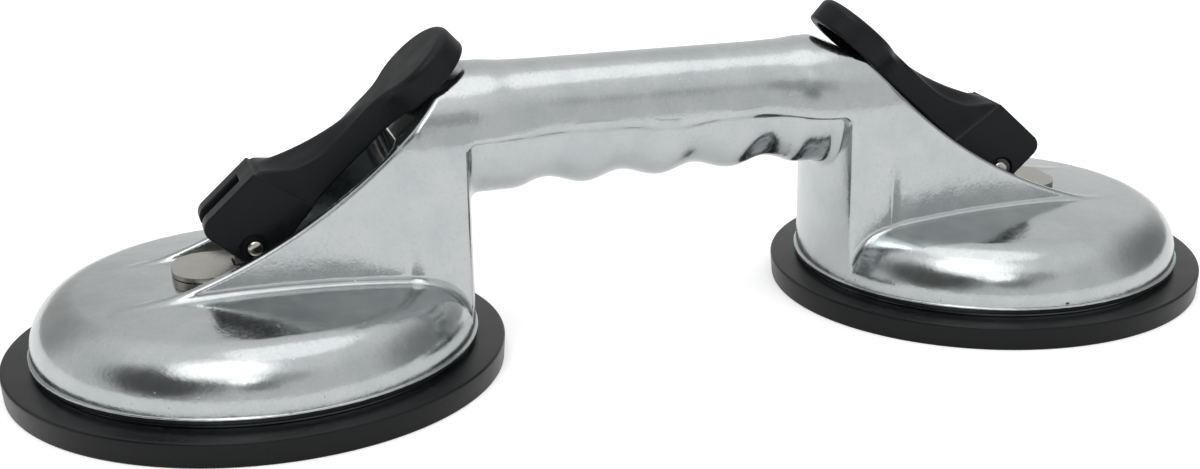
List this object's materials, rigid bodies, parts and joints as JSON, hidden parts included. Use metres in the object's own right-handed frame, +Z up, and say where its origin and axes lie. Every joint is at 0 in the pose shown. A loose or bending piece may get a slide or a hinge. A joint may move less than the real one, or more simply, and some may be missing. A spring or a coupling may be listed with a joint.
{
  "type": "floor tile suction lifter",
  "caption": "Hand-held suction lifter: cast aluminium finger grip joining round rubber suction pads, each with a pivoting cam lever that draws the pad's middle up.",
  "frame": {"origin": "on the surface the pads stand on, midway between the two suction heads", "axes": "+X along the handle towards the right head, +Z up, away from the tile"},
  "size_m": [0.32, 0.12, 0.0807],
  "materials": {
    "cast_aluminium": "tumbled and softly polished die casting",
    "pad_rubber": "dull moulded rubber",
    "lever_plastic": "fine-grained moulded nylon",
    "plated_steel": "bright nickel plate",
    "bright_steel": "bright drawn steel"
  },
  "bodies": {
    "casting": {"cast_body": "cast_aluminium", "rubber_pad_left": "pad_rubber", "rubber_pad_right": "pad_rubber", "wear_plate_left": "plated_steel", "wear_plate_right": "plated_steel"},
    "draw_gear_left": {"draw_stem_left": "bright_steel", "backing_plate_left": "bright_steel"},
    "lever_left": {"lever_left": "lever_plastic", "lever_pin_left": "bright_steel", "pin_clip_left": "bright_steel"},
    "draw_gear_right": {"draw_stem_right": "bright_steel", "backing_plate_right": "bright_steel"},
    "lever_right": {"lever_right": "lever_plastic", "lever_pin_right": "bright_steel", "pin_clip_right": "bright_steel"}
  },
  "joints": [
    {"name": "draw_stem_slide_left", "type": "slide", "parent": "casting", "child": "draw_gear_left", "axis": [0, 0, 1], "range_m": [0, 0.0087]},
    {"name": "lever_hinge_left", "type": "hinge", "parent": "draw_gear_left", "child": "lever_left", "pos_m": [-0.1, 0, 0.0325], "axis": [0, -1, 0], "range_deg": [0, 137.7]},
    {"name": "draw_stem_slide_right", "type": "slide", "parent": "casting", "child": "draw_gear_right", "axis": [0, 0, 1], "range_m": [0, 0.0087]},
    {"name": "lever_hinge_right", "type": "hinge", "parent": "draw_gear_right", "child": "lever_right", "pos_m": [0.1, 0, 0.0325], "axis": [0, 1, 0], "range_deg": [0, 137.7]}
  ],
  "couplings": [
    {"joint": "draw_stem_slide_left", "follows": "lever_hinge_left", "m_per_rad": 0.0035992},
    {"joint": "draw_stem_slide_right", "follows": "lever_hinge_right", "m_per_rad": 0.0035992}
  ]
}
